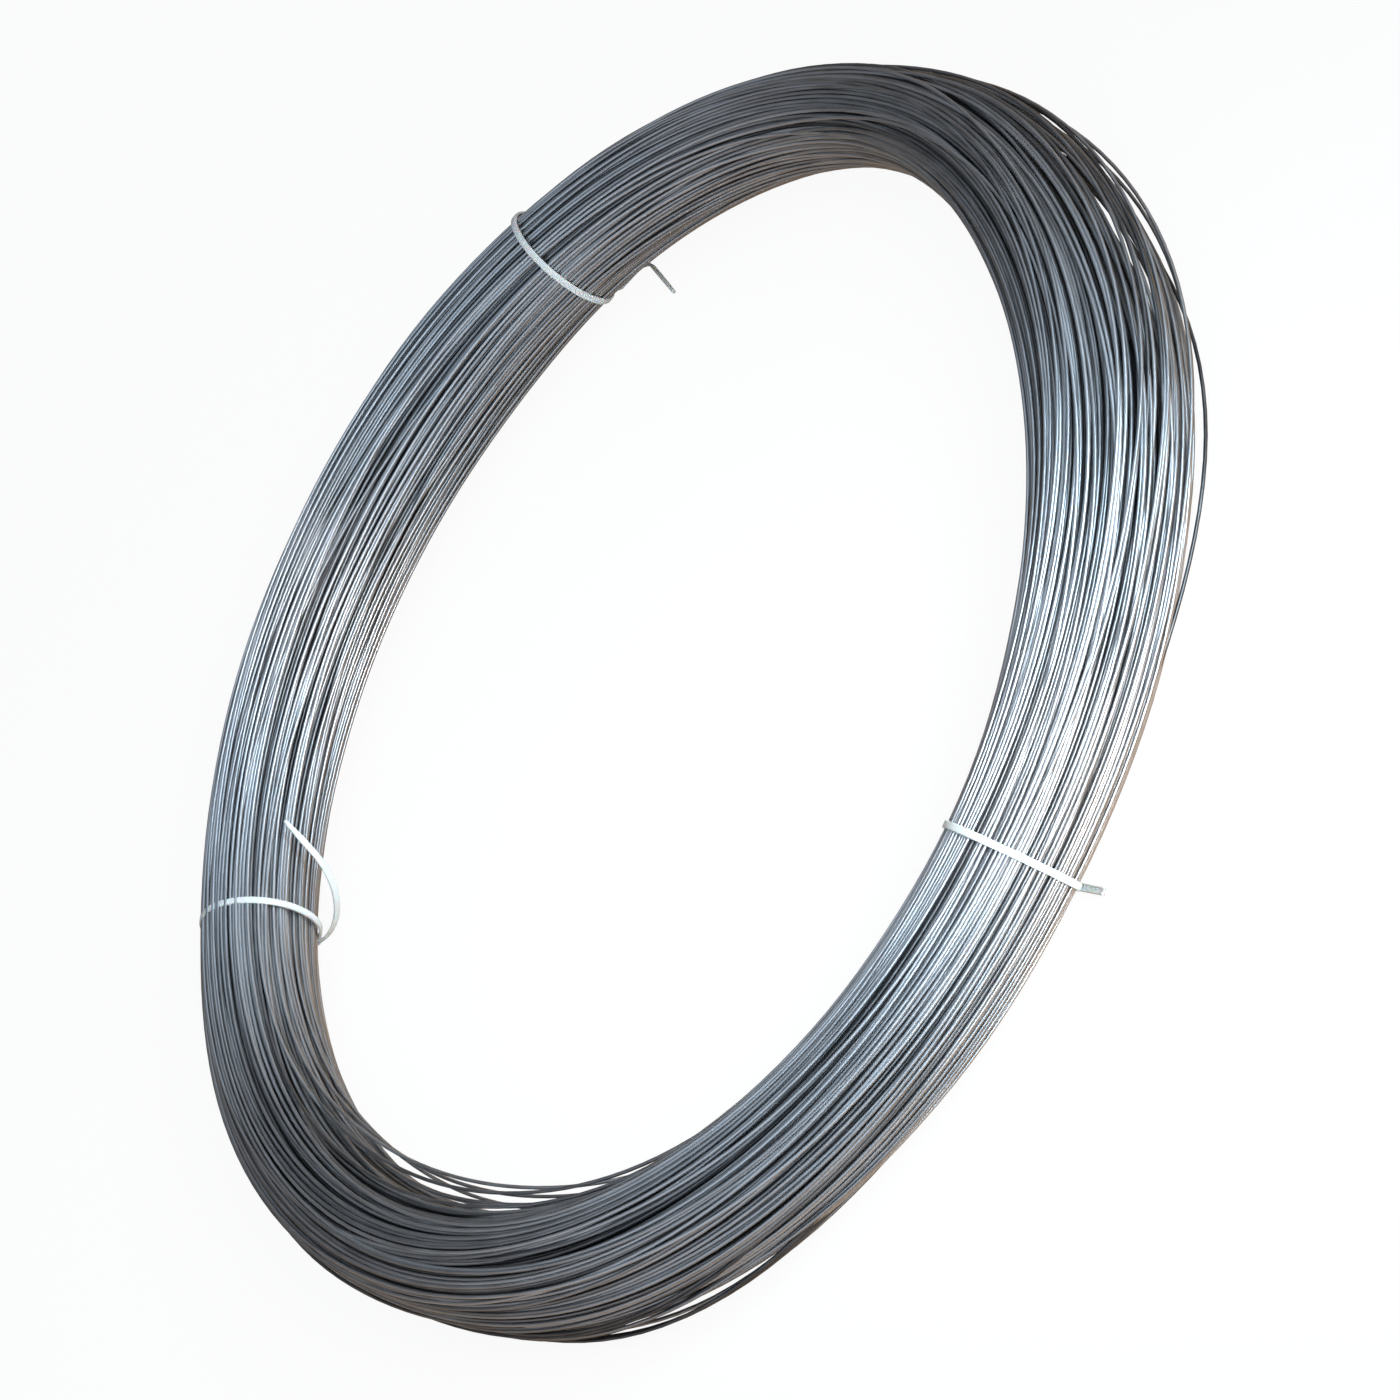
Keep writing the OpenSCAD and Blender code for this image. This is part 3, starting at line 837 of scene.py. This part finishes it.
class COIL_OT_turns(bpy.types.Operator):
    """Winds the turns of the face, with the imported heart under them"""

    bl_idname = "coil.turns"
    bl_label = "Wind the turns"

    def execute(self, context):
        settings = context.scene.coil_wire
        wire = settings.wire_d / MM
        rng = np.random.default_rng(settings.seed)
        few = settings.stations // 2
        coarse = TURN * np.arange(few) / few
        phi = TURN * np.arange(settings.stations) / settings.stations
        tight = FACE_R / MM - wire / 2
        reach = bundle_reach(coarse, wire)
        lay, depth = first_lay(rng, settings, coarse, wire)
        lay = scaled(lay, reach, tight)
        # Away from the ties a turn may stand a little proud of the bundle.
        limit = 1 + 0.05 * slack(coarse, 20.0)
        lay = push_apart(lay, wire, SETTLE_ROUNDS, limit, 1 - INNERMOST * wire / tight, reach)
        lay, strays = spring_off(lay, coarse, reach, rng)
        lay = push_apart(lay, wire, EASE_ROUNDS)
        lay = finer(lay, settings.stations)
        turns = ring_points(lay, phi, wire)
        rings = ring_coordinates()
        steel = wire_material(settings, rings)
        tree = wire_sweep_tree()
        # Tones fall with depth as painted shade on the deeper turns; the random part is each turn's own
        # tone.
        odd = rng.uniform(-TONE_SPREAD, TONE_SPREAD, lay.shape[1])
        tones = np.clip(TONE - DEPTH_SHADE * depth + odd, 0, 1)
        loose = np.zeros(lay.shape[1], bool)
        loose[strays] = True
        side = np.arctan2(lay[0, :, 1], lay[0, :, 0])
        order = np.argsort(side)
        order = order[~loose[order]]
        for k, part in enumerate(np.array_split(order, HANKS)):
            piece = sweep_turns(f"hank_{k + 1}", turns[:, part], tones[part], tree, settings, steel)
            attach(piece, "root")
            if k == 0:
                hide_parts("wire_coil")
        piece = sweep_turns("loose_strands", turns[:, loose], tones[loose], tree, settings, steel)
        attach(piece, "root")
        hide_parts("loose_turns")
        self.heart(phi, wire, rings)
        return {"FINISHED"}

    def heart(self, phi, wire, rings):
        """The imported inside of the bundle, as one ring under the turns made one by one."""
        tight = FACE_R / MM - wire / 2
        around = 48
        t = TURN * np.arange(around) / around
        r = tight - HEART_DEPTH * wire
        circle = np.broadcast_to(np.stack([r * np.cos(t), r * np.sin(t)], axis=1), (len(phi), around, 2))
        lay = scaled(circle, bundle_reach(phi, wire), tight)
        points = ring_points(lay, phi, wire).reshape(-1, 3)
        faces = [(a, d, c, b) for a, b, c, d in tube_faces(len(phi), around, is_ring=True)]
        piece = mesh_object("packed_heart", points, faces)
        piece.data.polygons.foreach_set("use_smooth", [True] * len(faces))
        piece.data.materials.append(heart_material(rings))
        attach(piece, "root")


class COIL_OT_ties(bpy.types.Operator):
    """Makes the three cable ties, each a toothed strap through its locking head"""

    bl_idname = "coil.ties"
    bl_label = "Cable ties"

    def execute(self, context):
        settings = context.scene.coil_tie
        nylon = nylon_material(settings)
        tree = tooth_tree()
        for k, (place, tail) in enumerate(zip(TIES, TAILS)):
            is_uncut = k < 2
            piece = self.tie(f"cable_tie_{k + 1}", settings, place, tail, is_uncut, tree, nylon)
            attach(piece, "root")
            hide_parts(f"tie_{k + 1}")
        return {"FINISHED"}

    def tie(self, name, settings, place, tail, is_uncut, tree, nylon):
        """One tie: its strap and head as a mesh, then its teeth by geometry nodes."""
        path = StrapPath(settings, place[1], place[3], tail)
        middle, out, across, tone, along = path.stations()
        place = place[:3]
        narrow = np.ones(len(along))
        if is_uncut:
            left = (along[-1] - along) * MM / settings.tip_l
            narrow = np.interp(left, (0, 1), (settings.tip_w / settings.strap_w, 1))
        profile = np.array(strap_profile(settings))
        strap = (middle[:, None] + across[:, None] * (profile[:, :1] * narrow[:, None, None])
                 + out[:, None] * profile[:, 1:])
        head = np.array(head_sections(settings))
        pitch, bare_end = settings.tooth_pitch / MM, 2.0
        at = np.arange(along[path.teeth_from] + pitch, along[-1] - bare_end, pitch)
        deep = (settings.strap_t / 2 - settings.groove) / MM
        teeth = np.stack([np.interp(at, along, column) for column in (middle - out * deep).T], axis=1)
        parts = [strap.reshape(-1, 3), head.reshape(-1, 3), teeth]
        counts = [len(part) for part in parts]
        verts = to_coil(np.concatenate(parts), *place)
        faces = tube_faces(*strap.shape[:2])
        faces += [tuple(v + counts[0] for v in f) for f in tube_faces(*head.shape[:2], is_ring=True)]
        if not place[2]:
            faces = [f[::-1] for f in faces]
        source = mesh_object(name + "_body", verts, faces)
        source.data.polygons.foreach_set("use_smooth", [len(f) == 4 for f in faces])
        self.mark(source.data, counts, at, along, across, out, tone, narrow, profile.shape[0], place)
        modifier = source.modifiers.new("Strap teeth", "NODES")
        modifier.node_group = tree
        set_inputs(modifier, {"Tooth pitch": settings.tooth_pitch, "Tooth height": settings.groove,
                              "Tooth width": settings.strap_w - 2 * settings.rail_w, "Material": nylon})
        return made_plain(source, name)

    def mark(self, mesh, counts, at, along, across, out, tone, narrow, around, place):
        """Writes on the mesh which points are teeth, how they stand, and the tone of the nylon, low where
        the free ends take painted shade.
        """
        body = counts[0] + counts[1]
        is_tooth = np.arange(body + counts[2]) >= body
        mesh.attributes.new("is_tooth", "BOOLEAN", "POINT").data.foreach_set("value", is_tooth)
        head_tone = 0.9
        tones = [np.repeat(tone, around), np.full(counts[1], head_tone), np.interp(at, along, tone)]
        tones = np.concatenate(tones).astype(np.float32)
        mesh.attributes.new("tone", "FLOAT", "POINT").data.foreach_set("value", tones)
        share = np.concatenate([np.ones(body), np.interp(at, along, narrow)])
        mesh.attributes.new("share", "FLOAT", "POINT").data.foreach_set("value", share.astype(np.float32))
        for name, ways in (("across", across), ("inwards", -out)):
            there = np.stack([np.interp(at, along, column) for column in ways.T], axis=1)
            there = to_coil(there, *place, is_place=False)
            values = np.concatenate([np.tile((0.0, 0.0, 1.0), (body, 1)), there]).astype(np.float32)
            mesh.attributes.new(name, "FLOAT_VECTOR", "POINT").data.foreach_set("vector", values.ravel())


class COIL_OT_stage(bpy.types.Operator):
    """Sets out the floor, the soft lamps and the camera"""

    bl_idname = "coil.stage"
    bl_label = "Stage"

    def execute(self, context):
        settings = context.scene.coil_stage
        self.floor(settings)
        for row in LAMPS:
            self.lamp(*row)
        self.world(context.scene)
        self.camera(context.scene, settings)
        context.scene.view_settings.view_transform = "Standard"
        return {"FINISHED"}

    def floor(self, settings):
        """A wide floor, nearly white to the camera, and darker and warmer in the wire's reflections."""
        size = 14.0
        corners = [(-size, -size, 0), (size, -size, 0), (size, size, 0), (-size, size, 0)]
        floor = mesh_object("floor", corners, [(0, 1, 2, 3)])
        mat, tree, shader = new_material("Floor")
        plain = feed(tree, shader, {
            "Base Color": (*settings.floor, 1),
            "Roughness": 0.8,
            "Specular IOR Level": 0.1,
        })
        white = feed(tree, node(tree, "ShaderNodeEmission"), {"Color": (1, 1, 1, 1), "Strength": 1.0})
        mirrored = feed(tree, node(tree, "ShaderNodeBsdfDiffuse"), {"Color": (*settings.mirrored, 1)})
        ray = node(tree, "ShaderNodeLightPath").outputs
        glow = math_node(tree, "MULTIPLY", ray["Is Camera Ray"], settings.glow)
        seen = mixed_shader(tree, ray["Is Glossy Ray"], plain, mirrored)
        feed(tree, tree.nodes["Material Output"], {"Surface": mixed_shader(tree, glow, seen, white)})
        floor.data.materials.append(mat)

    def lamp(self, name, place, target, width, height, power, spread, colour):
        """One soft lamp, which the camera doesn't see."""
        light = bpy.data.lights.new(name, "AREA")
        light.shape = "RECTANGLE"
        light.size, light.size_y = width, height
        light.energy = power
        light.spread = math.radians(spread)
        light.color = colour
        obj = bpy.data.objects.new(name, light)
        bpy.context.scene.collection.objects.link(obj)
        aim = (Vector(target) - Vector(place)).to_track_quat("-Z", "Y")
        obj.matrix_world = Matrix.Translation(place) @ aim.to_matrix().to_4x4()
        obj.visible_camera = False

    def world(self, scene):
        """The sky lights the coil, and past the floor the camera sees a plain pale ground."""
        world = bpy.data.worlds.new("Studio")
        scene.world = world
        world.use_nodes = True
        tree = world.node_tree
        sky = node(tree, "ShaderNodeGroup", node_tree=softbox_sky()).outputs["Light"]
        room = feed(tree, tree.nodes["Background"], {"Color": sky})
        pale = feed(tree, node(tree, "ShaderNodeBackground"), {"Strength": 1.0})
        ray = node(tree, "ShaderNodeLightPath").outputs
        seen = mixed_shader(tree, ray["Is Camera Ray"], room, pale)
        feed(tree, tree.nodes["World Output"], {"Surface": seen})

    def camera(self, scene, settings):
        """The camera, placed so that the coil's middle falls on its own pixel of the picture."""
        side = 1400
        cam = bpy.data.cameras.new("Camera")
        cam.sensor_width = 36
        cam.lens = 36 * settings.focal_px / side
        cam.clip_end = 100
        obj = bpy.data.objects.new("Camera", cam)
        scene.collection.objects.link(obj)
        e, r, d = settings.elevation, settings.roll, settings.distance
        middle = Vector((0, 0, RING_Z))
        back = Vector((0, -math.cos(e), math.sin(e)))
        place = middle + d * back
        right, up = Vector((1, 0, 0)), Vector((1, 0, 0)).cross(-back)
        picture_right = math.cos(r) * right + math.sin(r) * up
        picture_up = math.cos(r) * up - math.sin(r) * right
        off = [side / 2 - v for v in settings.middle_px]
        aim = middle + (picture_right * off[0] - picture_up * off[1]) * d / settings.focal_px
        back = (place - aim).normalized()
        picture_right = (picture_right - back * picture_right.dot(back)).normalized()
        picture_up = back.cross(picture_right)
        axes = Matrix((picture_right, picture_up, back)).transposed()
        obj.matrix_world = Matrix.Translation(place) @ axes.to_4x4()
        scene.camera = obj


class COIL_PT_panel(bpy.types.Panel):
    """The coil's pieces, one button each"""

    bl_idname = "COIL_PT_panel"
    bl_label = "Wire coil"
    bl_space_type = "VIEW_3D"
    bl_region_type = "UI"
    bl_category = "Wire coil"

    def draw(self, context):
        for name in ("coil_wire", "coil_tie", "coil_stage"):
            group = getattr(context.scene, name)
            box = self.layout.box()
            for key in group.bl_rna.properties.keys():
                if key not in ("rna_type", "name"):
                    box.prop(group, key)
        for op in OPERATORS:
            self.layout.operator(op.bl_idname)


OPERATORS = (COIL_OT_turns, COIL_OT_ties, COIL_OT_stage)
CLASSES = (WireSettings, TieSettings, StageSettings, *OPERATORS, COIL_PT_panel)


def register():
    for cls in CLASSES:
        bpy.utils.register_class(cls)
    bpy.types.Scene.coil_wire = bpy.props.PointerProperty(type=WireSettings)
    bpy.types.Scene.coil_tie = bpy.props.PointerProperty(type=TieSettings)
    bpy.types.Scene.coil_stage = bpy.props.PointerProperty(type=StageSettings)


def unregister():
    del bpy.types.Scene.coil_wire, bpy.types.Scene.coil_tie, bpy.types.Scene.coil_stage
    for cls in reversed(CLASSES):
        bpy.utils.unregister_class(cls)


def main():
    register()
    bpy.ops.coil.turns()
    bpy.ops.coil.ties()
    bpy.ops.coil.stage()


if __name__ == "__main__":
    main()
